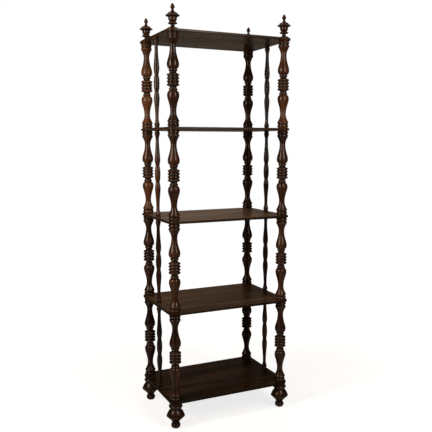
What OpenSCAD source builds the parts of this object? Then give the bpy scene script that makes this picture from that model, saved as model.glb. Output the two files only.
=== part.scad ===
/* [Shelves] */
// Number of shelves
shelf_count = 5; // [2:1:7]
// Distance between the left and right post axes
post_span_x = 575; // [400:5:900]
// Distance between the front and back post axes
post_span_y = 366; // [260:2:500]
// Reach of a shelf past the post axes, which is also the radius of its corners
shelf_overhang = 32; // [30:1:45]
// Thickness of a shelf
shelf_t = 12; // [12:0.5:22]
// Radius of the rounding along a shelf's edges
shelf_round = 3; // [1:0.5:5]

/* [Joints] */
// Diameter of the round tenon under a post section or finial
tenon_d = 16; // [10:0.5:18]
// Length of that tenon inside the socket below the shelf
tenon_seat = 28; // [15:1:32]
// Diameter of the tenon at each end of a spindle
spindle_tenon_d = 10; // [6:0.5:12]
// Radial clearance around a tenon
tenon_gap = 0.3; // [0.1:0.05:0.5]
// Space left past the end of a tenon
tenon_relief = 0.5; // [0.2:0.1:2]

/* [Post sections] */
// Length of a post section, which is the clear height between two shelves
section_h = 418; // [380:2:520]
// Number of discs in the middle of a section
disc_count = 4; // [2:1:5]
// Spacing of the discs
disc_pitch = 14.6; // [12:0.2:17]
// Diameter over the discs
disc_d = 57.2; // [52:0.2:62]
// Thickness of a disc at its rim
disc_rim_t = 7.5; // [4:0.5:9]
// Thickness of a disc at its root
disc_root_t = 11; // [8:0.2:12]
// Diameter of the core between the discs
disc_core_d = 48; // [38:1:50]
// Diameter of the neck past the discs
neck_d = 31.5; // [22:0.5:35]
// Length of the neck
neck_h = 11; // [8:1:16]
// Diameter of the small bead past the neck
bead_d = 41; // [38:0.5:46]
// Thickness of the small bead
bead_t = 8; // [6:0.5:10]
// Diameter of the quirk behind the small bead
quirk_d = 36; // [31:0.5:37]
// Width of the quirk
quirk_h = 2.7; // [1.5:0.1:5]
// Diameter of the bulb
bulb_d = 55.5; // [46:0.5:60]
// Height of the bulb's shoulder
shoulder_h = 20; // [14:1:26]
// Diameter of the slim part of the shaft
shaft_d = 28; // [22:1:34]
// Height of the flare from the slim part to the end rings
flare_h = 36; // [24:1:44]
// Diameter of the two rings at each end
ring_d = 54.6; // [51:0.2:60]
// Thickness of an end ring
ring_t = 12.5; // [9:0.5:15]
// Spacing of the two end rings
ring_pitch = 17; // [15:0.5:20]
// Distance from the outer ring's middle to the end of the section
ring_inset = 9.5; // [8:0.5:14]
// Diameter of the core between the end rings, which seats on the shelf
ring_core_d = 48.5; // [40:0.5:50]

/* [Side spindles] */
// Distance from the shelf's side edge to the spindle's axis
spindle_setback = 19; // [16:1:30]
// Diameter of the oval in the middle
oval_d = 27.4; // [22:0.2:32]
// Distance from the middle to the waist
waist_at = 39; // [30:1:50]
// Diameter of the waist
waist_d = 19.6; // [14:0.2:23]
// Distance from the waist to the fullest part
belly_h = 31; // [22:1:40]
// Diameter of the fullest part
belly_d = 27.2; // [22:0.2:32]
// Diameter of the slim end of the shaft
tip_d = 16.2; // [13:0.2:19]
// Height of the flare from the slim end to the end bead
tip_flare_h = 26; // [18:1:34]
// Diameter of the end bead
knob_d = 27.2; // [25:0.2:30]
// Thickness of the end bead
knob_t = 12; // [9:0.5:12]
// Distance from the end bead's middle to the end of the spindle
knob_inset = 14.5; // [12:0.5:20]
// Diameter of the core past the end bead
knob_core_d = 22; // [15:0.5:24]
// Diameter of the thin collar that seats on the shelf
seat_collar_d = 26; // [24:0.5:29]
// Thickness of the thin collar
seat_collar_t = 3.5; // [2:0.5:5]

/* [Finials] */
// Diameter of the base
finial_base_d = 50.5; // [40:0.5:60]
// Height of the base's straight rim
finial_rim_h = 1.5; // [1:0.5:4]
// Height of the dome over the base
finial_dome_h = 12.5; // [8:0.5:20]
// Diameter of the neck over the dome
finial_neck_d = 18; // [14:0.5:24]
// Height of the neck's straight part
finial_neck_h = 3; // [1:0.5:6]
// Height of the hollow under the disc
finial_hollow_h = 5; // [2:0.5:8]
// Diameter of the disc
finial_disc_d = 42; // [34:0.5:48]
// Thickness of the disc
finial_disc_t = 7; // [4:0.5:9]
// Diameter of the bowl's foot, over the disc
bowl_foot_d = 26; // [20:0.5:32]
// Height of the bowl's foot
bowl_foot_h = 4.5; // [2:0.5:8]
// Diameter of the bowl
bowl_d = 39.5; // [34:0.5:48]
// Height of the bowl
bowl_h = 15.5; // [11:0.5:26]
// Height of the flare from the bowl to the brim
brim_flare_h = 7; // [3:0.5:10]
// Diameter of the brim
brim_d = 64; // [54:1:72]
// Thickness of the brim
brim_t = 6; // [2:0.5:8]
// Diameter of the cap over the brim
cap_d = 45.5; // [34:0.5:50]
// Height of the cap's straight wall
cap_wall_h = 4; // [1:0.5:8]
// Height of the cap's dome
cap_dome_h = 7.5; // [5:0.5:14]
// Diameter of the top of the cap's dome
cap_top_d = 22; // [16:0.5:28]
// Diameter of the stem under the bud
stem_d = 10; // [8:0.5:14]
// Height of the stem
stem_h = 12; // [8:0.5:20]
// Diameter of the bud
bud_d = 20.6; // [16:0.2:26]
// Height of the bud's round lower part
bud_base_h = 10.5; // [5:0.5:14]
// Height of the bud's pointed upper part
bud_point_h = 13.5; // [9:0.5:22]
// Diameter of the bud's tip
bud_tip_d = 9; // [3:0.2:10]
// Height of the rounding on the bud's tip
bud_tip_h = 2.5; // [1:0.5:4]

/* [Feet] */
// Diameter of the flat that stands on the floor
sole_d = 22; // [18:1:34]
// Diameter of the round pad
pad_d = 45; // [38:0.5:52]
// Height of the pad's lower curve
pad_low_h = 14; // [8:0.5:18]
// Height of the pad's upper curve
pad_high_h = 10.5; // [6:0.5:16]
// Diameter of the ankle over the pad
ankle_d = 33.5; // [24:0.5:36]
// Height of the ankle's straight part
ankle_h = 4.5; // [2:0.5:8]
// Diameter of the lip at the widest part
lip_d = 88; // [76:1:100]
// Height of the curve from the ankle to the lip
turnip_low_h = 31.5; // [22:0.5:42]
// Height of the lip
lip_h = 3; // [2:0.5:6]
// Diameter over the lip, where the shoulder starts
turnip_d = 83; // [72:1:96]
// Height of the shoulder over the lip
turnip_high_h = 31.5; // [22:0.5:42]
// Diameter of the waist over the shoulder
foot_waist_d = 52.5; // [46:0.5:58]
// Height of the waist
foot_waist_h = 6.5; // [4:0.5:12]
// Diameter of the collar
collar_d = 66; // [60:1:74]
// Thickness of the collar
collar_t = 13; // [9:0.5:16]
// Diameter of the seat under the shelf
foot_seat_d = 56; // [46:1:60]
// Height of the seat
foot_seat_h = 11.5; // [6:0.5:18]

/* [Hidden] */
$fn = 96;
CORNERS = [["front_left", -1, -1], ["front_right", 1, -1], ["back_left", -1, 1], ["back_right", 1, 1]];
SIDES = [["left", -1], ["right", 1]];
bay_count = shelf_count - 1;

// Heights of the stacked parts
foot_h = pad_low_h + pad_high_h + ankle_h + turnip_low_h + lip_h + turnip_high_h + foot_waist_h
    + collar_t + foot_seat_h;
shelf_pitch = section_h + shelf_t;
function shelf_z(level) = foot_h + (level - 1) * shelf_pitch;
function bay_z(bay) = shelf_z(bay) + shelf_t;
finial_z = shelf_z(shelf_count) + shelf_t;
spindle_x = post_span_x / 2 + shelf_overhang - spindle_setback;

// Tenons and their bores
tenon_l = shelf_t + tenon_seat;
socket_depth = tenon_seat + tenon_relief;
bore_d = tenon_d + 2 * tenon_gap;
spindle_tenon_l = shelf_t / 2 - tenon_relief;
spindle_bore_d = spindle_tenon_d + 2 * tenon_gap;
overcut = 1;

// Shares of a curve's height over which it still runs along the axis, at its start and at its end
full_start = 0.22;
full_end = 0.47;
round_start = 0.75;
round_end = 0.35;
soft = 0.45;
flared = 0.34;
brief = 0.2;
sharp = 0.1;
// Depth of a flare's edge inside the ring or bead that it runs into
ring_lip = 2.6;
knob_lip = 1.2;
// Number of straight steps in a curve
curve_steps = 10;

function bezier_point(a, b, c, d, t) =
    pow(1 - t, 3) * a + 3 * t * pow(1 - t, 2) * b + 3 * t * t * (1 - t) * c + t * t * t * d;

// S-curve between two [radius, height] points that starts and ends along the axis
function ogee(p, q, start, end) = [for (i = [0:curve_steps]) bezier_point(
    p, [p[0], p[1] + start * (q[1] - p[1])], [q[0], q[1] - end * (q[1] - p[1])], q, i / curve_steps)];

// Quarter of an ellipse that leaves p across the axis and reaches q along it
function across_to_along(p, q) = [for (i = [0:curve_steps])
    let (a = 90 * i / curve_steps) [p[0] + (q[0] - p[0]) * sin(a), p[1] + (q[1] - p[1]) * (1 - cos(a))]];

// Quarter of an ellipse that leaves p along the axis and reaches q across it
function along_to_across(p, q) = [for (i = [0:curve_steps])
    let (a = 90 * i / curve_steps) [p[0] + (q[0] - p[0]) * (1 - cos(a)), p[1] + (q[1] - p[1]) * sin(a)]];

// Flare that leaves p along the axis and meets q on a slant
function flare(p, q) = [for (i = [0:curve_steps]) bezier_point(
    p, [p[0], p[1] + soft * (q[1] - p[1])],
    [q[0] - soft * (q[0] - p[0]), q[1] - flared * (q[1] - p[1])], q, i / curve_steps)];

// Height above a bead's middle at which its round edge has radius r
function bead_rise(d, t, r) = sqrt(pow(t / 2, 2) - pow(r - (d - t) / 2, 2));

// Outline of a bead with a half-round edge, centred on height z
module bead(d, t, z) {
    translate([0, z - t / 2]) square([(d - t) / 2, t]);
    translate([(d - t) / 2, z]) circle(d = t);
}

// Outline of one disc, which thins from its root to a round rim
module disc(z) {
    rim_r = (disc_d - disc_rim_t) / 2;
    polygon([
        [0, z - disc_root_t / 2],
        [disc_core_d / 2, z - disc_root_t / 2],
        [rim_r, z - disc_rim_t / 2],
        [rim_r, z + disc_rim_t / 2],
        [disc_core_d / 2, z + disc_root_t / 2],
        [0, z + disc_root_t / 2]
    ]);
    translate([rim_r, z]) circle(d = disc_rim_t);
}

// Outline of half a post section, from its middle up to its end
module half_section() {
    stack_end = (disc_count - 1) / 2 * disc_pitch + disc_root_t / 2;
    neck_end = stack_end + neck_h;
    quirk_start = neck_end + bead_t;
    shoulder_start = quirk_start + quirk_h;
    bulb_z = shoulder_start + shoulder_h;
    end_z = section_h / 2;
    ring_z = end_z - ring_inset - ring_pitch;
    flare_r = ring_d / 2 - ring_lip;
    flare_end = ring_z - bead_rise(ring_d, ring_t, flare_r);
    slim_z = flare_end - flare_h;
    polygon(concat(
        [[0, 0], [disc_core_d / 2, 0]],
        across_to_along([disc_core_d / 2, stack_end], [neck_d / 2, stack_end + neck_h / 2]),
        along_to_across([neck_d / 2, stack_end + neck_h / 2], [quirk_d / 2, neck_end]),
        [[quirk_d / 2, shoulder_start]],
        across_to_along([quirk_d / 2, shoulder_start], [bulb_d / 2, bulb_z]),
        ogee([bulb_d / 2, bulb_z], [shaft_d / 2, slim_z], full_start, full_end),
        flare([shaft_d / 2, slim_z], [flare_r, flare_end]),
        [[ring_core_d / 2, ring_z], [ring_core_d / 2, end_z], [0, end_z]]
    ));
    bead(bead_d, bead_t, neck_end + bead_t / 2);
    bead(ring_d, ring_t, ring_z);
    bead(ring_d, ring_t, ring_z + ring_pitch);
    for (i = [0:disc_count - 1])
        if (2 * i >= disc_count - 1)
            disc((i - (disc_count - 1) / 2) * disc_pitch);
}

// One turned post section, seated on the shelf below at height 0
module post_section() {
    difference() {
        rotate_extrude() {
            translate([0, section_h / 2]) intersection() {
                half_section();
                square([ring_d + disc_d + bulb_d, section_h]);
            }
            translate([0, section_h / 2]) mirror([0, 1]) intersection() {
                half_section();
                square([ring_d + disc_d + bulb_d, section_h]);
            }
            translate([0, -tenon_l]) square([tenon_d / 2, tenon_l + overcut]);
        }
        translate([0, 0, section_h - socket_depth])
            cylinder(d = bore_d, h = socket_depth + overcut);
    }
}

// Outline of half a side spindle, from its middle up to its end
module half_spindle() {
    end_z = section_h / 2;
    knob_z = end_z - knob_inset;
    flare_r = knob_d / 2 - knob_lip;
    flare_end = knob_z - bead_rise(knob_d, knob_t, flare_r);
    slim_z = flare_end - tip_flare_h;
    belly_z = waist_at + belly_h;
    polygon(concat(
        [[0, 0]],
        ogee([oval_d / 2, 0], [waist_d / 2, waist_at], round_start, sharp),
        ogee([waist_d / 2, waist_at], [belly_d / 2, belly_z], brief, full_end),
        ogee([belly_d / 2, belly_z], [tip_d / 2, slim_z], full_start, full_end),
        flare([tip_d / 2, slim_z], [flare_r, flare_end]),
        [[knob_core_d / 2, knob_z], [knob_core_d / 2, end_z], [0, end_z]]
    ));
    bead(knob_d, knob_t, knob_z);
    bead(seat_collar_d, seat_collar_t, end_z - seat_collar_t / 2);
}

// One turned spindle between two shelves, seated on the lower one at height 0
module side_spindle() {
    rotate_extrude() {
        translate([0, section_h / 2]) half_spindle();
        translate([0, section_h / 2]) mirror([0, 1]) half_spindle();
        translate([0, -spindle_tenon_l]) square([spindle_tenon_d / 2, section_h + 2 * spindle_tenon_l]);
    }
}

// Outline of a shelf's edge, from a post axis out to the rounded edge
module shelf_edge() {
    square([shelf_overhang - shelf_round, shelf_t]);
    translate([0, shelf_round]) square([shelf_overhang, shelf_t - 2 * shelf_round]);
    for (z = [shelf_round, shelf_t - shelf_round])
        translate([shelf_overhang - shelf_round, z]) circle(r = shelf_round);
}

// A shelf with rounded edges and corners, its underside at height 0
module shelf_blank() {
    translate([-post_span_x / 2, -post_span_y / 2]) cube([post_span_x, post_span_y, shelf_t]);
    for (s = [0, 180]) rotate(s) {
        translate([post_span_x / 2, post_span_y / 2])
            rotate_extrude(angle = 90) shelf_edge();
        translate([-post_span_x / 2, post_span_y / 2]) rotate(90)
            rotate_extrude(angle = 90) shelf_edge();
        translate([post_span_x / 2, post_span_y / 2]) rotate([90, 0, 0])
            linear_extrude(post_span_y) shelf_edge();
        translate([-post_span_x / 2, post_span_y / 2]) rotate([90, 0, 90])
            linear_extrude(post_span_x) shelf_edge();
    }
}

// A shelf bored for the post tenons and, from each side that has a bay, for the spindle tenons
module shelf(level) {
    low = level > 1 ? -overcut : shelf_t / 2;
    high = level < shelf_count ? shelf_t + overcut : shelf_t / 2;
    difference() {
        shelf_blank();
        for (c = CORNERS) at_corner(c, -overcut)
            cylinder(d = bore_d, h = shelf_t + 2 * overcut);
        for (s = SIDES) at_side(s, low)
            cylinder(d = spindle_bore_d, h = high - low);
    }
}

// One turned finial, seated on the top shelf at height 0
module finial() {
    dome_z = finial_rim_h;
    neck_z = dome_z + finial_dome_h;
    hollow_z = neck_z + finial_neck_h;
    disc_z = hollow_z + finial_hollow_h;
    bowl_foot_z = disc_z + finial_disc_t;
    bowl_z = bowl_foot_z + bowl_foot_h;
    brim_flare_z = bowl_z + bowl_h;
    brim_z = brim_flare_z + brim_flare_h;
    cap_z = brim_z + brim_t;
    cap_dome_z = cap_z + cap_wall_h;
    stem_z = cap_dome_z + cap_dome_h;
    bud_z = stem_z + stem_h;
    point_z = bud_z + bud_base_h;
    tip_z = point_z + bud_point_h;
    finial_h = tip_z + bud_tip_h;
    rotate_extrude() {
        polygon(concat(
            [[0, 0], [finial_base_d / 2, 0]],
            ogee([finial_base_d / 2, dome_z], [finial_neck_d / 2, neck_z], soft, full_end),
            along_to_across([finial_neck_d / 2, hollow_z], [bowl_foot_d / 2, disc_z]),
            [[bowl_foot_d / 2, bowl_z]],
            across_to_along([bowl_foot_d / 2, bowl_z], [bowl_d / 2, brim_flare_z]),
            along_to_across([bowl_d / 2, brim_flare_z], [(brim_d - brim_t) / 2, brim_z]),
            [[cap_d / 2, cap_z]],
            along_to_across([cap_d / 2, cap_dome_z], [cap_top_d / 2, stem_z]),
            ogee([cap_top_d / 2, stem_z], [stem_d / 2, bud_z], 0, brief),
            ogee([stem_d / 2, bud_z], [bud_d / 2, point_z], 0, round_end),
            ogee([bud_d / 2, point_z], [bud_tip_d / 2, tip_z], brief, brief),
            along_to_across([bud_tip_d / 2, tip_z], [0, finial_h])
        ));
        bead(finial_disc_d, finial_disc_t, disc_z + finial_disc_t / 2);
        bead(brim_d, brim_t, brim_z + brim_t / 2);
        translate([0, -tenon_l]) square([tenon_d / 2, tenon_l + overcut]);
    }
}

// One turned foot, from the floor at height 0 up to the lowest shelf
module foot() {
    ankle_z = pad_low_h + pad_high_h;
    turnip_z = ankle_z + ankle_h;
    lip_z = turnip_z + turnip_low_h;
    shoulder_z = lip_z + lip_h;
    waist_z = shoulder_z + turnip_high_h;
    collar_z = waist_z + foot_waist_h;
    difference() {
        rotate_extrude() {
            polygon(concat(
                [[0, 0]],
                across_to_along([sole_d / 2, 0], [pad_d / 2, pad_low_h]),
                along_to_across([pad_d / 2, pad_low_h], [ankle_d / 2, ankle_z]),
                ogee([ankle_d / 2, turnip_z], [lip_d / 2, lip_z], brief, 0),
                [[lip_d / 2, shoulder_z]],
                ogee([turnip_d / 2, shoulder_z], [foot_waist_d / 2, waist_z], soft, sharp),
                [[foot_waist_d / 2, collar_z], [foot_seat_d / 2, collar_z + collar_t]],
                [[foot_seat_d / 2, foot_h], [0, foot_h]]
            ));
            bead(collar_d, collar_t, collar_z + collar_t / 2);
        }
        translate([0, 0, foot_h - socket_depth])
            cylinder(d = bore_d, h = socket_depth + overcut);
    }
}

// Places a part on the axis of one corner's posts, at height z
module at_corner(c, z) {
    translate([c[1] * post_span_x / 2, c[2] * post_span_y / 2, z]) children();
}

// Places a part on the spindle axis of one side, at height z
module at_side(s, z) {
    translate([s[1] * spindle_x, 0, z]) children();
}

for (c = CORNERS)
    color("#2b1710") at_corner(c, 0) foot();
for (level = [1:shelf_count])
    color("#4a3628") translate([0, 0, shelf_z(level)]) shelf(level);
for (bay = [1:bay_count], c = CORNERS)
    color("#4d2a1a") at_corner(c, bay_z(bay)) post_section();
for (bay = [1:bay_count], s = SIDES)
    color("#4d2a1a") at_side(s, bay_z(bay)) side_spindle();
for (c = CORNERS)
    color("#3d2115") at_corner(c, finial_z) finial();
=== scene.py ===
import math
import random

import bmesh
import bpy
from mathutils import Euler, Matrix, Vector
from mathutils.geometry import interpolate_bezier


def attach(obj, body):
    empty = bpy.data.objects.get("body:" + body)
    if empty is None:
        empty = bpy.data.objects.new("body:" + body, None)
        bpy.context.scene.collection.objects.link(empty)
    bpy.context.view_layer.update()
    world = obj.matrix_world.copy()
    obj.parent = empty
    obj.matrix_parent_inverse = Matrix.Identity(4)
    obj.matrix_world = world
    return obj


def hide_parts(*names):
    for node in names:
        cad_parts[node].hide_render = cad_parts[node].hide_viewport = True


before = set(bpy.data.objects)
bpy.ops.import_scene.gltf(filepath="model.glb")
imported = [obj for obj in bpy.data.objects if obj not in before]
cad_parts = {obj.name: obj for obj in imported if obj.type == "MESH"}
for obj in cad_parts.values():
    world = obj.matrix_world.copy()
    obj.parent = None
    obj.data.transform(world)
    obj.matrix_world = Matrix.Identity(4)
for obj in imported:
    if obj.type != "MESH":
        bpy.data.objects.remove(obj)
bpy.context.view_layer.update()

mm = 0.001
print("stage: frame loaded")


# how the whole bookcase is laid out, mm

layout = {
    "shelves": 5,
    "postSpanX": 575, "postSpanY": 366,   # between post axes
    "overhang": 32,                       # shelf past the post axes, and its corner radius
    "shelfThickness": 12,
    "clearHeight": 418,                   # between two shelves
    "footHeight": 126,
    "spindleSetback": 19,                 # from the shelf's side edge to the spindle's axis
    "tenon": 16, "tenonSeat": 28, "tenonGap": 0.3, "tenonRelief": 0.5,
    "spindleTenon": 10,
}
corners = {"front_left": (-1, -1), "front_right": (1, -1), "back_left": (-1, 1), "back_right": (1, 1)}
sides = {"left": -1, "right": 1}
pitch = layout["clearHeight"] + layout["shelfThickness"]
bays = range(1, layout["shelves"])


def shelfHeight(level):
    return layout["footHeight"] + (level - 1) * pitch


def bayHeight(bay):
    return shelfHeight(bay) + layout["shelfThickness"]


def cornerSpot(corner, height):
    sx, sy = corners[corner]
    return Vector((sx * layout["postSpanX"] / 2, sy * layout["postSpanY"] / 2, height))


def sideSpot(side, height):
    reach = layout["postSpanX"] / 2 + layout["overhang"] - layout["spindleSetback"]
    return Vector((sides[side] * reach, 0, height))


# outlines for the lathe: lists of (radius, height) from low to high, in mm

outlining = {
    "samePoint": 0.02,                                         # points closer than this are one
    "flare": {"leave": 0.45, "open": 0.45, "arrive": 0.34},    # shares of its height and width
}


def curve(a, b, c, d, steps):
    return [(p.x, p.y) for p in interpolate_bezier(*(Vector((*q, 0)) for q in (a, b, c, d)), steps)]


def ogee(start, end, pull, steps):
    # leaves and arrives along the axis; the pull is how far, as shares of the rise
    rise = end[1] - start[1]
    return curve(start, (start[0], start[1] + pull[0] * rise),
                 (end[0], end[1] - pull[1] * rise), end, steps)


def flared(slim, lip, rise, steps):       # from the slim end of a shaft out to its ring
    share = outlining["flare"]
    return curve(slim, (slim[0], slim[1] + share["leave"] * rise),
                 (lip[0] - share["open"] * (lip[0] - slim[0]), lip[1] - share["arrive"] * rise),
                 lip, steps)


def quarter(start, end, outFirst, steps=10):       # quarter ellipse, across the axis first or last
    turns = [math.pi / 2 * i / (steps - 1) for i in range(steps)]
    across = [math.sin(t) if outFirst else 1 - math.cos(t) for t in turns]
    along = [1 - math.cos(t) if outFirst else math.sin(t) for t in turns]
    return [(start[0] + (end[0] - start[0]) * x, start[1] + (end[1] - start[1]) * y)
            for x, y in zip(across, along)]


def rim(across, thick, height, enter, leave, steps=11):   # half-round edge of a bead or disc
    radius = thick / 2
    centre = across / 2 - radius
    first = -math.acos(min(1, max(0, (enter - centre) / radius)))
    last = math.acos(min(1, max(0, (leave - centre) / radius)))
    turns = [first + (last - first) * i / (steps - 1) for i in range(steps)]
    return [(centre + radius * math.cos(t), height + radius * math.sin(t)) for t in turns]


def beadRise(across, thick, radius):      # from a bead's middle to where it has this radius
    return math.sqrt((thick / 2) ** 2 - (radius - (across - thick) / 2) ** 2)


def flipped(outline):
    return [(r, -z) for r, z in reversed(outline)]


def lifted(outline, height):
    return [(r, z + height) for r, z in outline]


def joined(*parts):                                # drops points that repeat the one before
    out = []
    for part in parts:
        for point in part:
            if not out or math.dist(point, out[-1]) > outlining["samePoint"]:
                out.append(point)
    return out


def stacked(start, *heights):                      # running heights of the stacked parts
    out = [start]
    for h in heights:
        out.append(out[-1] + h)
    return out


def tenonBelow():
    reach = layout["shelfThickness"] + layout["tenonSeat"]
    radius = layout["tenon"] / 2
    return [(0, -reach), (radius, -reach), (radius, 0)]


def socketIn(top):                                 # where the next piece's tenon plugs in
    bore = layout["tenon"] / 2 + layout["tenonGap"]
    depth = layout["tenonSeat"] + layout["tenonRelief"]
    return [(bore, top), (bore, top - depth), (0, top - depth)]


# turning an outline into a piece

turning = {
    "segments": 72,
    "arris": 0.45, "arrisSteps": 3,    # how far crisp corners are eased, mm
    "crispAngle": 28,                  # corners sharper than this are eased, degrees
    "nearAxis": 1,                     # corners closer to the axis than this stay, mm
    # a point is worn where it stands out, and gets grime with painted shade where it lies low,
    # against the outline at the reach to both sides of it, and fully so at the depth, mm
    "wearReach": 1.6, "wearDepth": 0.30,
    "hollowReach": 4.5, "hollowDepth": 1.1,
    "weld": 0.001,
    "heartAway": (35, 90),             # from the piece's axis to the heart of its tree, mm
    "lean": 1.5,                       # of the piece in its tree, degrees
    "treeLength": 4000,
    "shadeSpread": 0.15,               # how far a piece strays from its value in shades
}

# how light each turned piece is: its wood's own tone, with painted light and shade in it, lighter
# where the lamps fall full and darker where shade falls; foot, the four bays from below, finial
shades = {
    "front_left": (-2.4, -1.1, 0.7, -0.5, -1.8, -1.8),
    "front_right": (-0.4, -0.8, 0.2, -1.1, 0.6, 0.2),
    "back_left": (-0.8, -2.6, -1.3, 1.3, 2.3, -0.8),
    "back_right": (3.8, -0.8, -0.5, -1.8, -1.2, -1.0),
    "left": (None, -2.1, -1.8, 0.8, -1.5),
    "right": (None, 0.0, -3.4, -3.4, -3.4),
}


def walk(bm):                          # the outline's vertices in order, from the low end
    here = min((v for v in bm.verts if len(v.link_edges) == 1), key=lambda v: v.co.z)
    order, last = [here], None
    while True:
        ahead = [e for e in here.link_edges if e is not last]
        if not ahead:
            return order
        last = ahead[0]
        here = last.other_vert(here)
        order.append(here)


def swell(points, reach):
    # how far each point stands out from the chord between its neighbours at that distance
    runs = [0]
    for a, b in zip(points, points[1:]):
        runs.append(runs[-1] + (b - a).length)

    def at(s):
        s = min(max(s, 0), runs[-1])
        i = next((k for k in range(1, len(runs)) if runs[k] >= s), len(runs) - 1)
        span = runs[i] - runs[i - 1]
        return points[i - 1].lerp(points[i], (s - runs[i - 1]) / span if span else 0)

    out = []
    for s, p in zip(runs, points):
        low, high = at(s - reach), at(s + reach)
        along = high - low
        outward = Vector((along.z, 0, -along.x))
        out.append((p - (low + high) / 2).dot(outward.normalized()) if along.length > 0 else 0)
    return out


def eased(outline):
    # breaks the crisp corners, and says of each point how worn it is and how much grime and painted
    # shade it gets
    bm = bmesh.new()
    dots = [bm.verts.new((r, 0, z)) for r, z in outline]
    for a, b in zip(dots, dots[1:]):
        bm.edges.new((a, b))
    crisp = []
    for a, b, c in zip(dots, dots[1:], dots[2:]):
        bend = math.degrees((b.co - a.co).angle(c.co - b.co))
        room = min((b.co - a.co).length, (c.co - b.co).length)
        if (b.co.x > turning["nearAxis"] and bend > turning["crispAngle"]
                and room > 2 * turning["arris"]):
            crisp.append(b)
    bmesh.ops.bevel(bm, geom=crisp, affect="VERTICES", offset=turning["arris"],
                    offset_type="OFFSET", segments=turning["arrisSteps"], profile=0.5, material=-1)
    points = [v.co.copy() for v in walk(bm)]
    bm.free()
    worn = [min(1, max(0, s / turning["wearDepth"])) for s in swell(points, turning["wearReach"])]
    grimeAndShade = [min(1, max(0, -s / turning["hollowDepth"]))
             for s in swell(points, turning["hollowReach"])]
    return list(zip(points, worn, grimeAndShade))


def finished(bm, name, node):
    mesh = bpy.data.meshes.new(name)
    bm.to_mesh(mesh)
    bm.free()
    piece = bpy.data.objects.new(name, mesh)
    bpy.context.collection.objects.link(piece)
    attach(piece, "root")
    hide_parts(node)
    return piece


def turned(node, profile, spot, shade):
    bm = bmesh.new()
    worn, grimeAndShade, tone = (bm.verts.layers.float.new(k) for k in ("worn", "grimeAndShade", "tone"))
    grain = bm.verts.layers.float_vector.new("grain")
    last = None
    for point, rubbed, dirtyAndShaded in profile:
        dot = bm.verts.new(point)
        dot[worn], dot[grimeAndShade] = rubbed, dirtyAndShaded
        if last:
            bm.edges.new((last, dot))
        last = dot
    bmesh.ops.spin(bm, geom=bm.verts[:] + bm.edges[:], cent=(0, 0, 0), axis=(0, 0, 1),
                   angle=math.tau, steps=turning["segments"], use_merge=True)
    bmesh.ops.remove_doubles(bm, verts=bm.verts, dist=turning["weld"])
    bmesh.ops.recalc_face_normals(bm, faces=bm.faces)

    # the blank's own grain: along the axis, with the heart of the tree off to one side
    dice = random.Random(node)
    heart = (Matrix.Rotation(dice.uniform(0, math.tau), 4, "Z")
             @ Matrix.Translation((dice.uniform(*turning["heartAway"]), 0, 0)))
    lean = [math.radians(dice.uniform(-turning["lean"], turning["lean"])) for _ in range(2)]
    slide = Matrix.Translation((0, 0, dice.uniform(0, turning["treeLength"])))
    blank = slide @ heart @ Euler((*lean, 0)).to_matrix().to_4x4()
    # the piece's tone: wood tone with painted light and shade, plus a random stray
    pieceTone = shade + dice.uniform(-1, 1) * turning["shadeSpread"]
    for v in bm.verts:
        v[grain] = (blank @ v.co) * mm
        v[tone] = pieceTone
    for e in bm.edges:
        e.smooth = e.is_manifold and e.calc_face_angle(0) < math.radians(turning["crispAngle"])
    for f in bm.faces:
        f.smooth = True
    bmesh.ops.scale(bm, vec=(mm, mm, mm), verts=bm.verts)
    bmesh.ops.translate(bm, vec=spot * mm, verts=bm.verts)
    return finished(bm, f"turned_{node}", node)


# post sections; a pull shapes the curve that leads up to the next part

post = {
    "discs": 4, "discPitch": 14.6, "disc": 57.2, "discRim": 7.5, "discRoot": 11, "discCore": 48,
    "neck": 31.5, "neckHeight": 11,
    "bead": 41, "beadThick": 8, "quirk": 36, "quirkHeight": 2.7,
    "bulb": 55.5, "shoulder": 20, "bulbPull": (0.22, 0.47),
    "shaft": 28, "flare": 36, "flareLip": 2.6,
    "ring": 54.6, "ringThick": 12.5, "ringPitch": 17, "ringInset": 9.5, "ringCore": 48.5,
}


def postOutline():
    # the upper half, from the middle of the discs, then its mirror image under it
    p = post
    core, end = p["discCore"] / 2, layout["clearHeight"] / 2
    stack = (p["discs"] - 1) / 2 * p["discPitch"] + p["discRoot"] / 2
    inner = p["disc"] / 2 - p["discRim"] / 2
    half = [(core, 0)]
    for i in range(p["discs"]):
        z = (i - (p["discs"] - 1) / 2) * p["discPitch"]
        if z > 0:
            half = joined(half, [(core, z - p["discRoot"] / 2)],
                          rim(p["disc"], p["discRim"], z, inner, inner),
                          [(core, z + p["discRoot"] / 2)])
    neck = (p["neck"] / 2, stack + p["neckHeight"] / 2)
    neckEnd = stack + p["neckHeight"]
    quirk, beadMiddle = p["quirk"] / 2, neckEnd + p["beadThick"] / 2
    shoulder = neckEnd + p["beadThick"] + p["quirkHeight"]
    bulb = (p["bulb"] / 2, shoulder + p["shoulder"])
    ring = end - p["ringInset"] - p["ringPitch"]
    lip = p["ring"] / 2 - p["flareLip"]
    flareEnd = ring - beadRise(p["ring"], p["ringThick"], lip)
    slim = (p["shaft"] / 2, flareEnd - p["flare"])
    seat = p["ringCore"] / 2
    half = joined(
        half,
        quarter((core, stack), neck, True),
        quarter(neck, (quirk, neckEnd), False),
        rim(p["bead"], p["beadThick"], beadMiddle, quirk, quirk),
        quarter((quirk, shoulder), bulb, True, steps=14),
        ogee(bulb, slim, p["bulbPull"], steps=30),
        flared(slim, (lip, flareEnd), p["flare"], steps=16),
        rim(p["ring"], p["ringThick"], ring, lip, seat),
        rim(p["ring"], p["ringThick"], ring + p["ringPitch"], seat, seat),
        [(seat, end)],
    )
    return lifted(joined(flipped(half), half), end)


section = eased(joined(tenonBelow(), postOutline(), socketIn(layout["clearHeight"])))
turnedPieces = [turned(f"post_{bay}_{corner}", section, cornerSpot(corner, bayHeight(bay)),
                       shades[corner][bay])
                for bay in bays for corner in corners]
print("stage: post sections turned,", len(section), "outline points")


# side spindles

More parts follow.
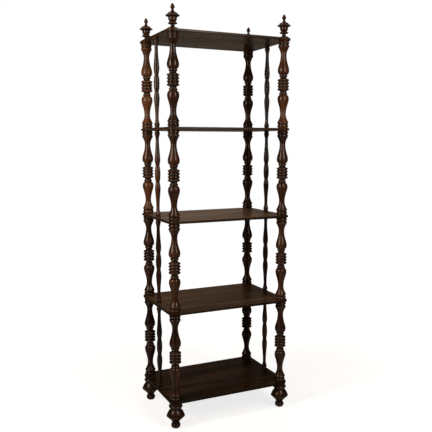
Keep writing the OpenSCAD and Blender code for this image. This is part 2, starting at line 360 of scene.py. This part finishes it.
spindle = {
    "oval": 27.4, "waistAt": 39, "waist": 19.6, "waistPull": (0.75, 0.1),
    "bellyRise": 31, "belly": 27.2, "bellyPull": (0.2, 0.47),
    "tip": 16.2, "tipPull": (0.22, 0.47), "tipFlare": 26, "flareLip": 1.2,
    "knob": 27.2, "knobThick": 12, "knobInset": 14.5, "knobCore": 22,
    "collar": 26, "collarThick": 3.5,
}


def spindleOutline():
    # the upper half, from the middle of the oval, then its mirror image under it
    s = spindle
    end = layout["clearHeight"] / 2
    knob = end - s["knobInset"]
    lip = s["knob"] / 2 - s["flareLip"]
    flareEnd = knob - beadRise(s["knob"], s["knobThick"], lip)
    waist = (s["waist"] / 2, s["waistAt"])
    belly = (s["belly"] / 2, s["waistAt"] + s["bellyRise"])
    slim = (s["tip"] / 2, flareEnd - s["tipFlare"])
    core = s["knobCore"] / 2
    collar, collarCore = end - s["collarThick"] / 2, s["collar"] / 2 - s["collarThick"] / 2
    peg = layout["spindleTenon"] / 2
    reach = end + layout["shelfThickness"] / 2 - layout["tenonRelief"]
    half = joined(
        ogee((s["oval"] / 2, 0), waist, s["waistPull"], steps=18),
        ogee(waist, belly, s["bellyPull"], steps=16),
        ogee(belly, slim, s["tipPull"], steps=30),
        flared(slim, (lip, flareEnd), s["tipFlare"], steps=14),
        rim(s["knob"], s["knobThick"], knob, lip, core),
        [(core, collar - s["collarThick"] / 2)],
        rim(s["collar"], s["collarThick"], collar, collarCore, collarCore, steps=7),
        [(peg, end), (peg, reach), (0, reach)],
    )
    return lifted(joined(flipped(half), half), end)


rod = eased(spindleOutline())
turnedPieces += [turned(f"spindle_{bay}_{side}", rod, sideSpot(side, bayHeight(bay)),
                        shades[side][bay])
                 for bay in bays for side in sides]
print("stage: side spindles turned,", len(rod), "outline points")


# finials

finial = {
    "base": 50.5, "rim": 1.5, "dome": 12.5, "domePull": (0.45, 0.47),
    "neck": 18, "neckHeight": 3, "hollow": 5, "disc": 42, "discThick": 7,
    "bowlFoot": 26, "bowlFootHeight": 4.5, "bowl": 39.5, "bowlHeight": 15.5,
    "brimFlare": 7, "brim": 64, "brimThick": 6,
    "cap": 45.5, "capWall": 4, "capDome": 7.5, "capTop": 22, "capPull": (0, 0.2),
    "stem": 10, "stemHeight": 12, "stemPull": (0, 0.35),
    "bud": 20.6, "budBase": 10.5, "budPoint": 13.5, "budPull": (0.2, 0.2),
    "budTip": 9, "budTipHeight": 2.5,
}


def finialOutline():
    f = finial
    (dome, neck, hollow, disc, bowlFoot, bowl, flare, brim, cap, capDome,
     stem, bud, point, tip, top) = stacked(
        f["rim"], f["dome"], f["neckHeight"], f["hollow"], f["discThick"],
        f["bowlFootHeight"], f["bowlHeight"], f["brimFlare"], f["brimThick"], f["capWall"],
        f["capDome"], f["stemHeight"], f["budBase"], f["budPoint"], f["budTipHeight"])
    footR, brimR = f["bowlFoot"] / 2, (f["brim"] - f["brimThick"]) / 2
    return joined(
        [(f["base"] / 2, 0)],
        ogee((f["base"] / 2, dome), (f["neck"] / 2, neck), f["domePull"], steps=18),
        quarter((f["neck"] / 2, hollow), (footR, disc), False),
        rim(f["disc"], f["discThick"], disc + f["discThick"] / 2, footR, footR),
        quarter((footR, bowl), (f["bowl"] / 2, flare), True, steps=14),
        quarter((f["bowl"] / 2, flare), (brimR, brim), False),
        rim(f["brim"], f["brimThick"], brim + f["brimThick"] / 2, brimR, brimR, steps=9),
        [(f["cap"] / 2, cap)],
        quarter((f["cap"] / 2, capDome), (f["capTop"] / 2, stem), False, steps=12),
        ogee((f["capTop"] / 2, stem), (f["stem"] / 2, bud), f["capPull"], steps=12),
        ogee((f["stem"] / 2, bud), (f["bud"] / 2, point), f["stemPull"], steps=14),
        ogee((f["bud"] / 2, point), (f["budTip"] / 2, tip), f["budPull"], steps=14),
        quarter((f["budTip"] / 2, tip), (0, top), False, steps=7),
    )


urn = eased(joined(tenonBelow(), finialOutline()))
turnedPieces += [turned(f"finial_{corner}", urn, cornerSpot(corner, bayHeight(layout["shelves"])),
                        shades[corner][-1])
                 for corner in corners]
print("stage: finials turned,", len(urn), "outline points")


# feet

foot = {
    "sole": 22, "pad": 45, "padLow": 14, "padHigh": 10.5, "ankle": 33.5, "ankleHeight": 4.5,
    "lip": 88, "turnipLow": 31.5, "turnipPull": (0.2, 0), "lipHeight": 3,
    "turnip": 83, "turnipHigh": 31.5, "shoulderPull": (0.45, 0.1),
    "waist": 52.5, "waistHeight": 6.5, "collar": 66, "collarThick": 13,
    "seat": 56, "seatHeight": 11.5,
}


def footOutline():
    f = foot
    pad, ankle, turnip, lip, shoulder, waist, collar, seat, top = stacked(
        f["padLow"], f["padHigh"], f["ankleHeight"], f["turnipLow"], f["lipHeight"],
        f["turnipHigh"], f["waistHeight"], f["collarThick"], f["seatHeight"])
    return joined(
        [(0, 0)],
        quarter((f["sole"] / 2, 0), (f["pad"] / 2, pad), True, steps=12),
        quarter((f["pad"] / 2, pad), (f["ankle"] / 2, ankle), False, steps=12),
        ogee((f["ankle"] / 2, turnip), (f["lip"] / 2, lip), f["turnipPull"], steps=22),
        [(f["lip"] / 2, shoulder)],
        ogee((f["turnip"] / 2, shoulder), (f["waist"] / 2, waist), f["shoulderPull"], steps=18),
        [(f["waist"] / 2, collar)],
        rim(f["collar"], f["collarThick"], collar + f["collarThick"] / 2,
            f["waist"] / 2, f["seat"] / 2),
        [(f["seat"] / 2, top)],
        socketIn(top),
    )


bun = eased(footOutline())
turnedPieces += [turned(f"foot_{corner}", bun, cornerSpot(corner, 0), shades[corner][0])
                 for corner in corners]
print("stage: feet turned,", len(bun), "outline points")


# shelves

board = {
    "edgeRound": 3, "edgeSteps": 6, "cornerSteps": 14, "boreSteps": 40,
    "wearBand": 5,            # how far the worn edge fades inwards, mm
    "edgeWear": 0.3,          # of the board's edge between its worn arrises
    "edgeDarkening": (0.85, 0.85, 0.85, 0.30, 0.45),       # how far the edge band is darkened, lowest shelf first
    "seam": 34,               # the glued seam lies within this distance of the middle, mm
    "heartAside": 60, "heartAway": (45, 90),           # from a plank to the heart of its tree, mm
    "lean": 1.2,              # of a plank in its tree, degrees
    "shades": (-0.85, 0.35, 1.0, -0.15, 0.15), "shadeSpread": 0.10,    # lowest shelf first
    "smoothAngle": 40, "flatNormal": 0.999, "touch": 0.01, "seamTouch": 0.0005,
}


def isFlat(face):
    return abs(face.normal.z) > board["flatNormal"]


def slab(level):
    # a board with round corners, rounded edges and open flat sides, and those sides' edges
    thick, over = layout["shelfThickness"], layout["overhang"]
    halfX, halfY = layout["postSpanX"] / 2 + over, layout["postSpanY"] / 2 + over
    bm = bmesh.new()
    worn, grimeAndShade = (bm.verts.layers.float.new(k) for k in ("worn", "grimeAndShade"))
    bm.loops.layers.float_vector.new("grain")
    bm.loops.layers.float.new("tone")
    bmesh.ops.create_grid(bm, x_segments=1, y_segments=1, size=1)
    bmesh.ops.scale(bm, vec=(halfX, halfY, 1), verts=bm.verts)
    bmesh.ops.bevel(bm, geom=bm.verts[:], affect="VERTICES", offset=over, offset_type="OFFSET",
                    segments=board["cornerSteps"], profile=0.5, material=-1)
    grown = bmesh.ops.extrude_face_region(bm, geom=bm.faces[:])["geom"]
    bmesh.ops.translate(bm, vec=(0, 0, thick),
                        verts=[g for g in grown if isinstance(g, bmesh.types.BMVert)])
    bmesh.ops.recalc_face_normals(bm, faces=bm.faces)
    arrises = [e for e in bm.edges if abs(e.verts[0].co.z - e.verts[1].co.z) < board["touch"]]
    bmesh.ops.bevel(bm, geom=arrises, affect="EDGES", offset=board["edgeRound"],
                    offset_type="OFFSET", segments=board["edgeSteps"], profile=0.5, material=-1)
    for v in bm.verts:
        onEdge = board["touch"] < v.co.z < thick - board["touch"]
        v[worn], v[grimeAndShade] = (board["edgeWear"], board["edgeDarkening"][level - 1]) if onEdge else (1, 0)
    faces = [f for f in bm.faces if isFlat(f)]
    bmesh.ops.inset_individual(bm, faces=faces, thickness=board["wearBand"], use_even_offset=True)
    flats = {0: [], thick: []}
    for f in faces:
        for v in f.verts:
            v[worn] = 0
        flats[0 if f.calc_center_median().z < thick / 2 else thick] += f.edges[:]
    bmesh.ops.delete(bm, geom=faces, context="FACES_ONLY")
    return bm, flats


def bored(bm, flats, level):
    # bores go right through, but a spindle's ends half way where no bay follows
    thick = layout["shelfThickness"]
    blind = thick / 2
    pegLow = 0 if level > 1 else blind
    pegHigh = thick if level < layout["shelves"] else blind
    bores = [(cornerSpot(corner, 0), layout["tenon"], (0, thick)) for corner in corners]
    bores += [(sideSpot(side, 0), layout["spindleTenon"], (pegLow, pegHigh)) for side in sides]
    for spot, tenon, ends in bores:
        loops = []
        for z in ends:
            ring = bmesh.ops.create_circle(bm, segments=board["boreSteps"],
                                           radius=tenon / 2 + layout["tenonGap"],
                                           matrix=Matrix.Translation((spot.x, spot.y, z)))["verts"]
            edges = list(dict.fromkeys(e for v in ring for e in v.link_edges))
            loops.append(edges)
            if z in flats:
                flats[z] += edges
            else:
                bmesh.ops.contextual_create(bm, geom=edges)
        bmesh.ops.bridge_loops(bm, edges=loops[0] + loops[1])
    for edges in flats.values():
        bmesh.ops.triangle_fill(bm, use_beauty=True, use_dissolve=False, edges=edges)


def planked(bm, level, dice):
    # two planks glued edge to edge, each with its own grain
    grain, tone = bm.loops.layers.float_vector["grain"], bm.loops.layers.float["tone"]
    seam = dice.uniform(-board["seam"], board["seam"])
    bmesh.ops.bisect_plane(bm, geom=bm.verts[:] + bm.edges[:] + bm.faces[:],
                           plane_co=(0, seam, 0), plane_no=(0, 1, 0), dist=board["seamTouch"])
    bmesh.ops.recalc_face_normals(bm, faces=bm.faces)
    planks = []
    for k in range(2):
        heart = (dice.uniform(-board["heartAside"], board["heartAside"]),
                 dice.choice((-1, 1)) * dice.uniform(*board["heartAway"]),
                 dice.uniform(0, turning["treeLength"]))
        tilt, turn = (math.radians(dice.uniform(-board["lean"], board["lean"])) for _ in range(2))
        lay = Euler((tilt, math.pi / 2 + turn, 0)).to_matrix().to_4x4()
        planks.append((Matrix.Translation(heart) @ Matrix.Rotation(math.pi / 2, 4, "Z") @ lay,
                       board["shades"][level - 1] + dice.uniform(-1, 1) * board["shadeSpread"]))
    for f in bm.faces:
        turn, plankTone = planks[0 if f.calc_center_median().y < seam else 1]
        for loop in f.loops:
            loop[grain] = (turn @ loop.vert.co) * mm
            loop[tone] = plankTone
        f.smooth = True


def shelf(level):
    node = f"shelf_{level}"
    bm, flats = slab(level)
    bored(bm, flats, level)
    planked(bm, level, random.Random(node))
    for e in bm.edges:
        e.smooth = (not any(isFlat(f) for f in e.link_faces)
                    and e.calc_face_angle(0) < math.radians(board["smoothAngle"]))
    bmesh.ops.translate(bm, vec=(0, 0, shelfHeight(level)), verts=bm.verts)
    bmesh.ops.scale(bm, vec=(mm, mm, mm), verts=bm.verts)
    return finished(bm, f"board_{node}", node)


shelfPieces = [shelf(level) for level in range(1, layout["shelves"] + 1)]
print("stage: shelves made")


# shader wiring

class Wire:
    # a socket that can be used in sums; numbers on either side become plain node inputs
    def __init__(self, tree, socket=None):
        self.tree, self.socket = tree, socket

    def add(self, kind, settings=None, inputs=None, out=0):
        node = self.tree.nodes.new(kind)
        for key, value in (settings or {}).items():
            if key == "stops":
                ramp = node.color_ramp
                ramp.elements.remove(ramp.elements[-1])
                for i, (at, colour) in enumerate(value):
                    stop = ramp.elements.new(at) if i else ramp.elements[0]
                    stop.position = at
                    stop.color = (*colour, 1)
            else:
                setattr(node, key, value)
        for key, value in (inputs or {}).items():
            if isinstance(value, Wire):
                self.tree.links.new(value.socket, node.inputs[key])
            else:
                node.inputs[key].default_value = value
        return Wire(self.tree, node.outputs[out])

    def maths(self, operation, *terms):
        return self.add("ShaderNodeMath", {"operation": operation}, dict(enumerate(terms)))

    def __add__(self, other):
        return self.maths("ADD", self, other)

    def __sub__(self, other):
        return self.maths("SUBTRACT", self, other)

    def __rsub__(self, other):
        return self.maths("SUBTRACT", other, self)

    def __mul__(self, other):
        return self.maths("MULTIPLY", self, other)

    def __truediv__(self, other):
        return self.maths("DIVIDE", self, other)

    def __rtruediv__(self, other):
        return self.maths("DIVIDE", other, self)

    def __pow__(self, other):
        return self.maths("POWER", self, other)

    def __rpow__(self, other):
        return self.maths("POWER", other, self)

    __radd__ = __add__
    __rmul__ = __mul__

    def spread(self, low, high, toLow=0.0, toHigh=1.0):     # smooth remap, clamped at both ends
        return self.add("ShaderNodeMapRange", {"interpolation_type": "SMOOTHSTEP"}, {
            "Value": self, "From Min": low, "From Max": high, "To Min": toLow, "To Max": toHigh})

    def blend(self, colourA, colourB):                      # self is the factor
        return self.add("ShaderNodeMix", {"data_type": "RGBA"},
                        {"Factor": self, "A": colourA, "B": colourB}, "Result")

    def ramp(self, *stops):
        return self.add("ShaderNodeValToRGB", {"stops": stops}, {"Fac": self})

    def vector(self, operation, inputs, out=0):
        return self.add("ShaderNodeVectorMath", {"operation": operation}, inputs, out)

    def stretched(self, scales):
        return self.add("ShaderNodeMapping", None, {"Vector": self, "Scale": scales})

    def noise(self, scale=1.0, detail=3, rough=0.6, out=0):
        return self.add("ShaderNodeTexNoise", None,
                        {"Vector": self, "Scale": scale, "Detail": detail, "Roughness": rough}, out)

    def attribute(self, name, out):
        return self.add("ShaderNodeAttribute", {"attribute_name": name}, out=out)

    def parts(self):
        split = self.add("ShaderNodeSeparateXYZ", None, {"Vector": self})
        return [Wire(self.tree, s) for s in split.socket.node.outputs]


# polished wood

turnedWood = {
    "dark": (0.013, 0.0042, 0.0016), "mid": (0.059, 0.0206, 0.0071), "light": (0.164, 0.063, 0.022),
    # the dark colour for the hollows, and further down how fully it shows, paint old dust and wax
    # together with painted shade
    "worn": (0.150, 0.062, 0.023), "grimeAndShade": (0.0050, 0.0026, 0.0013),
    "red": (1.06, 0.82, 0.74), "redness": 0.65,         # tint of the redder patches, and its share
    "ringSpacing": 0.0034, "streaks": 0.42, "bands": 0.36, "bandScale": (9, 9, 4),
    "toneShift": 0.16, "wear": 0.32, "dirtAndShade": 0.97,
    "gloss": 0.35, "shine": 0.40, "dullStreaks": 0.03,
    "polish": 0.06, "polishRoughness": 0.20,
    "poreBump": 0.08, "waviness": 0.5,
}
boardWood = {
    **turnedWood,
    "dark": (0.014, 0.0062, 0.0024), "mid": (0.054, 0.0250, 0.0095), "light": (0.172, 0.092, 0.042),
    "worn": (0.090, 0.043, 0.018),
    "redness": 0.40,
    "ringSpacing": 0.0052, "streaks": 0.31, "bandScale": (13, 13, 0.9),
    "toneShift": 0.34, "wear": 0.10,
    "gloss": 0.40, "shine": 0.16, "dullStreaks": 0.12,
    "polish": 0.24, "polishRoughness": 0.24,
    "poreBump": 0.04, "waviness": 0.1,
}

# what both woods share; a scale is per metre, and a pair is where a mask starts and ends
figure = {
    "wanderScale": (14, 14, 2.2), "wander": 0.030,      # how far the rings are pushed about, m
    "unevenScale": (60, 60, 5), "uneven": 1.6,          # in ring spacings
    "lateWood": (0.45, 0.97), "ringDark": 0.18,
    "streakAcross": 95, "streakAlong": 1.6, "streakWander": 1.5, "streakMask": (0.42, 0.66),
    "cloudMask": (0.3, 0.7),
    "poreScale": (2400, 2400, 90), "poreMask": (0.60, 0.72), "poreDark": 0.6,
    "fibreScale": (900, 900, 14), "fibreDark": 0.35,
    "brightness": 0.62, "midStop": 0.45,
    "redScale": (7, 7, 5), "redMask": (0.36, 0.64),
    # the last mask breaks the hollows' grime and painted shade into patches
    "rubScale": 70, "rubMask": (0.30, 0.62), "dirtShadeScale": 160, "dirtShadeMask": (0.08, 0.48),
}
surface = {
    "smearScale": 9, "smear": 0.16, "scuffStretch": (1, 1, 0.35), "scuffScale": 55, "scuff": 0.10,
    "poreRough": 0.12, "dirtShadeRough": 0.10, "rubRough": 0.08, "roughLimits": (0.12, 0.95),
    "dirtShadeDulls": 0.9, "rubDulls": 0.4, "streakDulls": 0.5, "darkTone": -3, "darkPolish": 0.3,
    "refraction": 1.5,
    "poreRelief": -0.6, "fibreRelief": 0.25, "waveScale": 22, "reliefDepth": 0.0012,
}


def polishedWood(name, look):
    material = bpy.data.materials.new(name)
    material.use_nodes = True
    tree = material.node_tree
    shader = tree.nodes["Principled BSDF"]
    start = Wire(tree)
    grain = start.attribute("grain", "Vector")
    tone, worn, grimeAndShade = (start.attribute(k, "Fac") for k in ("tone", "worn", "grimeAndShade"))
    place = start.add("ShaderNodeTexCoord", out="Object")
    f, s = figure, surface

    # growth rings round the heart, pushed about by slow wander
    wx, wy, wz = grain.stretched(f["wanderScale"]).noise(rough=0.55, out="Color").parts()
    x, y, z = grain.parts()
    across = x + (wx - 0.5) * f["wander"]
    aside = y + (wy - 0.5) * f["wander"]
    radius = (across * across + aside * aside) ** 0.5
    uneven = grain.stretched(f["unevenScale"]).noise()
    ring = start.maths("FRACT", radius / look["ringSpacing"] + uneven * f["uneven"])
    lateStart, lateEnd = f["lateWood"]
    line = ring.spread(lateStart, lateEnd) * (1 - ring.spread(lateEnd, 1.0))

    # broad smoky streaks that follow the rings, as rosewood and walnut have
    streakPlace = start.add("ShaderNodeCombineXYZ", None, {
        "X": radius * f["streakAcross"], "Y": z * f["streakAlong"],
        "Z": (wz - 0.5) * f["streakWander"]})
    streak = streakPlace.noise(detail=5, rough=0.62).spread(*f["streakMask"])
    cloud = grain.stretched(look["bandScale"]).noise(detail=2, rough=0.5).spread(*f["cloudMask"])

    # pores: short dark dashes along the grain
    pores = grain.stretched(f["poreScale"]).noise(detail=2).spread(*f["poreMask"])
    fibres = grain.stretched(f["fibreScale"]).noise(rough=0.65)

    # tone sets each piece's lightness; on the turned pieces it holds painted light and shade too
    depth = (f["brightness"] - streak * look["streaks"] + (cloud - 0.5) * look["bands"]
             + (fibres - 0.5) * f["fibreDark"] + tone * look["toneShift"] - line * f["ringDark"])
    colour = depth.ramp((0.0, look["dark"]), (f["midStop"], look["mid"]), (1.0, look["light"]))
    redder = start.vector("MULTIPLY", {0: colour, 1: look["red"]})
    patches = grain.stretched(f["redScale"]).noise(detail=2, rough=0.5).spread(*f["redMask"])
    colour = (patches * look["redness"]).blend(colour, redder)
    colour = (pores * f["poreDark"]).blend(colour, (*look["dark"], 1))

    # rubbed edges, and old wax and dust in the hollows, darkened further there as painted shade; the
    # same darkening marks the boards' edge band
    rub = worn * place.noise(f["rubScale"]).spread(*f["rubMask"]) * look["wear"]
    colour = rub.blend(colour, (*look["worn"], 1))
    dirtAndShade = grimeAndShade * place.noise(f["dirtShadeScale"]).spread(*f["dirtShadeMask"]) * look["dirtAndShade"]
    colour = dirtAndShade.blend(colour, (*look["grimeAndShade"], 1))
    tree.links.new(colour.socket, shader.inputs["Base Color"])

    smear = place.noise(s["smearScale"])
    scuff = place.stretched(s["scuffStretch"]).noise(s["scuffScale"], detail=4, rough=0.7)
    rough = (look["gloss"] + (smear - 0.5) * s["smear"] + (scuff - 0.5) * s["scuff"]
             + pores * s["poreRough"] + dirtAndShade * s["dirtShadeRough"] + rub * s["rubRough"])
    rough = rough + (streak + cloud - 1) * look["dullStreaks"]
    limits = s["roughLimits"]
    tree.links.new(rough.spread(*limits, *limits).socket, shader.inputs["Roughness"])
    polish = (look["polish"] * (1 - dirtAndShade * s["dirtShadeDulls"]) * (1 - rub * s["rubDulls"])
              * (1 - streak * s["streakDulls"]) * tone.spread(s["darkTone"], 0, s["darkPolish"], 1))
    tree.links.new(polish.socket, shader.inputs["Coat Weight"])
    shader.inputs["Coat Roughness"].default_value = look["polishRoughness"]
    shader.inputs["Coat IOR"].default_value = s["refraction"]
    shader.inputs["IOR"].default_value = s["refraction"]
    shader.inputs["Specular IOR Level"].default_value = look["shine"]

    waves = place.noise(s["waveScale"], detail=2, rough=0.5)
    relief = pores * s["poreRelief"] + fibres * s["fibreRelief"] + waves * look["waviness"]
    bump = start.add("ShaderNodeBump", None, {
        "Strength": look["poreBump"], "Distance": s["reliefDepth"], "Height": relief})
    tree.links.new(bump.socket, shader.inputs["Normal"])
    return material


finishes = {
    "turned_wood": (polishedWood("polishedTurnedWood", turnedWood), turnedPieces),
    "shelf_wood": (polishedWood("polishedBoardWood", boardWood), shelfPieces),
}
for slot, (finish, pieces) in finishes.items():
    for piece in pieces:
        piece.data.materials.append(finish)
print("stage: wood finishes made")


# floor, white surroundings and lamps

studio = {
    "floorSize": 30, "floorGrey": 0.60, "floorRoughness": 0.9,
    "floorGlow": 0.80, "farGlow": 1.0, "glowStart": 0.2, "glowEnd": 2.4,    # as the camera sees it
    "floorSheen": 0.10, "sheenStart": 1.0, "sheenEnd": 6.0,       # floor as the polish mirrors it
    "room": 0.025,                              # walls and ceiling, as the polish mirrors them
    "bounce": (1.0, 0.80, 0.62),                # colour of all mirrored surroundings
    # the lit backdrop low behind the bookcase: brightness, where it faces, how it ends
    "sweep": 0.45, "sweepFacing": (0.21, 0.978, 0.0), "sweepSide": (0.89, 0.99),
    "sweepTop": (0.05, 0.24),
    # name: place, target, size, watts, colour
    "lamps": {
        "leftBox": ((-1.88, -0.56, 1.95), (0, 0, 1.45), (0.55, 1.5), 26, (1.0, 0.88, 0.74)),
        "frontBox": ((0.46, -1.79, 2.00), (0, 0, 1.45), (0.50, 1.4), 17, (1.0, 0.88, 0.74)),
        "overhead": ((0.2, -0.8, 4.4), (0, 0, 0.8), (2.4, 2.0), 3, (1.0, 0.95, 0.90)),
        "backBox": ((0.9, 2.1, 3.4), (0, 0, 1.0), (1.2, 1.2), 13, (1.0, 0.90, 0.78)),
    },
}


def tinted(seen, white, mirrored):
    # white to the camera, and a dimmer warm tint in the polish
    bounce = mirrored.vector("SCALE", {"Vector": studio["bounce"], "Scale": mirrored})
    plain = seen.vector("SCALE", {"Vector": (1, 1, 1), "Scale": white})
    return seen.blend(bounce, plain)


def paleFloor():
    mesh = bpy.data.meshes.new("floor")
    bm = bmesh.new()
    bmesh.ops.create_grid(bm, x_segments=1, y_segments=1, size=studio["floorSize"])
    bm.to_mesh(mesh)
    bm.free()
    floor = bpy.data.objects.new("floor", mesh)
    bpy.context.collection.objects.link(floor)
    paint = bpy.data.materials.new("paleFloor")
    paint.use_nodes = True
    tree = paint.node_tree
    shader = tree.nodes["Principled BSDF"]
    shader.inputs["Base Color"].default_value = (*[studio["floorGrey"]] * 3, 1)
    shader.inputs["Roughness"].default_value = studio["floorRoughness"]
    shader.inputs["Specular IOR Level"].default_value = 0.0
    shader.inputs["Emission Strength"].default_value = 1.0
    start = Wire(tree)
    seen, mirrored = (start.add("ShaderNodeLightPath", out=k)
                      for k in ("Is Camera Ray", "Is Glossy Ray"))
    place = start.add("ShaderNodeTexCoord", out="Object")
    away = start.vector("LENGTH", {"Vector": place}, "Value")
    glow = away.spread(studio["glowStart"], studio["glowEnd"],
                       studio["floorGlow"], studio["farGlow"])
    sheen = away.spread(studio["sheenStart"], studio["sheenEnd"], 0, studio["floorSheen"])
    tree.links.new(tinted(seen, glow, mirrored * sheen).socket, shader.inputs["Emission Color"])
    floor.data.materials.append(paint)


def whiteRoom():
    world = bpy.data.worlds.new("whiteRoom")
    bpy.context.scene.world = world
    world.use_nodes = True
    tree = world.node_tree
    back = tree.nodes["Background"]
    back.inputs["Strength"].default_value = 1.0
    start = Wire(tree)
    seen = start.add("ShaderNodeLightPath", out="Is Camera Ray")
    ray = start.add("ShaderNodeTexCoord", out="Generated")
    facing = start.vector("DOT_PRODUCT", {0: ray, 1: studio["sweepFacing"]}, "Value")
    low = 1 - ray.parts()[2].spread(*studio["sweepTop"])
    sweep = low * facing.spread(*studio["sweepSide"]) * studio["sweep"]
    tree.links.new(tinted(seen, 1.0, sweep + studio["room"]).socket, back.inputs["Color"])


def lamps():
    for name, (place, target, size, watts, colour) in studio["lamps"].items():
        light = bpy.data.lights.new(name, "AREA")
        light.shape = "RECTANGLE"
        light.size, light.size_y = size
        light.energy = watts
        light.color = colour
        lamp = bpy.data.objects.new(name, light)
        lamp.location = place
        lamp.visible_camera = False
        lamp.rotation_euler = (Vector(target) - Vector(place)).to_track_quat("-Z", "Y").to_euler()
        bpy.context.collection.objects.link(lamp)


paleFloor()
whiteRoom()
lamps()


# camera, at the photograph's viewing angle

shot = {"place": (-1.297, -2.804, 1.3535), "pitchDown": 6.76, "yaw": 25.0,
        "focalPixels": 612.7, "framePixels": 432, "sensor": 36}
lens = bpy.data.cameras.new("photoView")
lens.sensor_width = shot["sensor"]
lens.lens = shot["focalPixels"] * shot["sensor"] / shot["framePixels"]
camera = bpy.data.objects.new("photoView", lens)
camera.location = shot["place"]
camera.rotation_euler = Euler((math.radians(90 - shot["pitchDown"]), 0, math.radians(-shot["yaw"])))
bpy.context.collection.objects.link(camera)
bpy.context.scene.camera = camera
bpy.context.scene.view_settings.view_transform = "Standard"
print("stage: studio and camera set")
